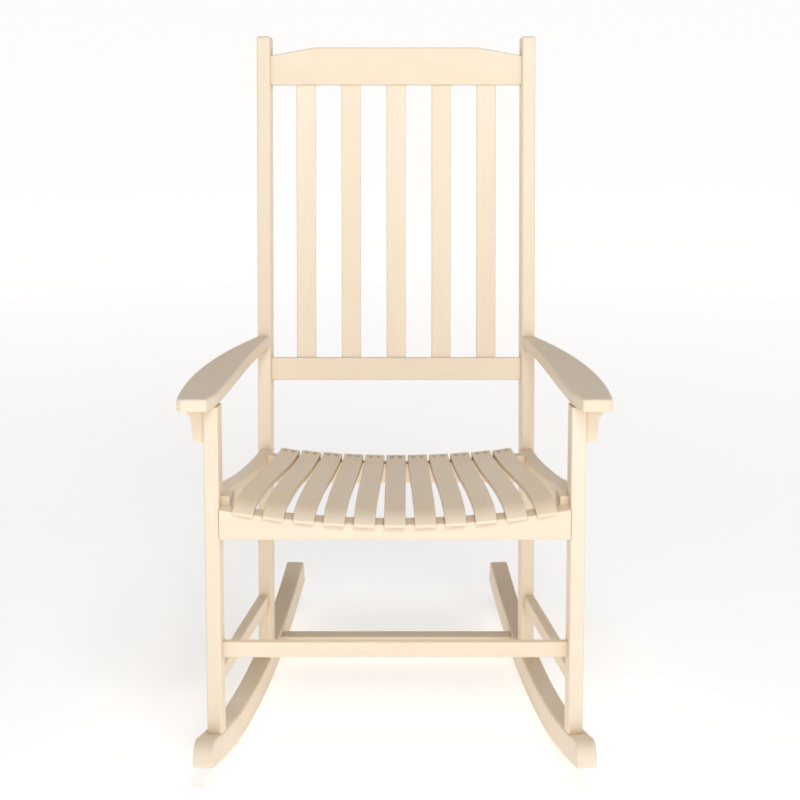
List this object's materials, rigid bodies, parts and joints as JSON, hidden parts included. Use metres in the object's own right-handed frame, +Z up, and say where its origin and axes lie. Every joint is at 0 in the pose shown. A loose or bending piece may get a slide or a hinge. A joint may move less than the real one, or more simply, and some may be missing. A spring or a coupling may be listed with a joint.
{
  "type": "rocking chair",
  "caption": "Painted wooden porch rocking chair with a tall slatted back, a contoured slatted seat, flat bowed arms and long curved rockers.",
  "frame": {"origin": "on the floor, under the middle of the chair's bounding box", "axes": "+Z up, the front of the chair faces -Y, +X to the right as seen from the front"},
  "size_m": [0.6788, 0.8808, 1.1357],
  "materials": {
    "painted_wood": "satin ivory paint on smooth wood",
    "screw_steel": "zinc-plated, slightly dull"
  },
  "bodies": {
    "root": {"arm_corbel_left": "painted_wood", "arm_corbel_right": "painted_wood", "arm_left": "painted_wood", "arm_right": "painted_wood", "back_slat_1": "painted_wood", "back_slat_2": "painted_wood", "back_slat_3": "painted_wood", "back_slat_4": "painted_wood", "back_slat_5": "painted_wood", "corner_block_left": "painted_wood", "corner_block_right": "painted_wood", "crest_rail": "painted_wood", "front_apron": "painted_wood", "front_leg_left": "painted_wood", "front_leg_right": "painted_wood", "front_stretcher": "painted_wood", "lower_back_rail": "painted_wood", "rear_post_left": "painted_wood", "rear_post_right": "painted_wood", "rear_seat_rail": "painted_wood", "rear_stretcher": "painted_wood", "rocker_left": "painted_wood", "rocker_right": "painted_wood", "seat_slat_01": "painted_wood", "seat_slat_02": "painted_wood", "seat_slat_03": "painted_wood", "seat_slat_04": "painted_wood", "seat_slat_05": "painted_wood", "seat_slat_06": "painted_wood", "seat_slat_07": "painted_wood", "seat_slat_08": "painted_wood", "seat_slat_09": "painted_wood", "seat_slat_10": "painted_wood", "seat_slat_11": "painted_wood", "seat_slat_screws": "screw_steel", "side_seat_rail_left": "painted_wood", "side_seat_rail_right": "painted_wood", "side_stretcher_left": "painted_wood", "side_stretcher_right": "painted_wood"}
  },
  "joints": []
}
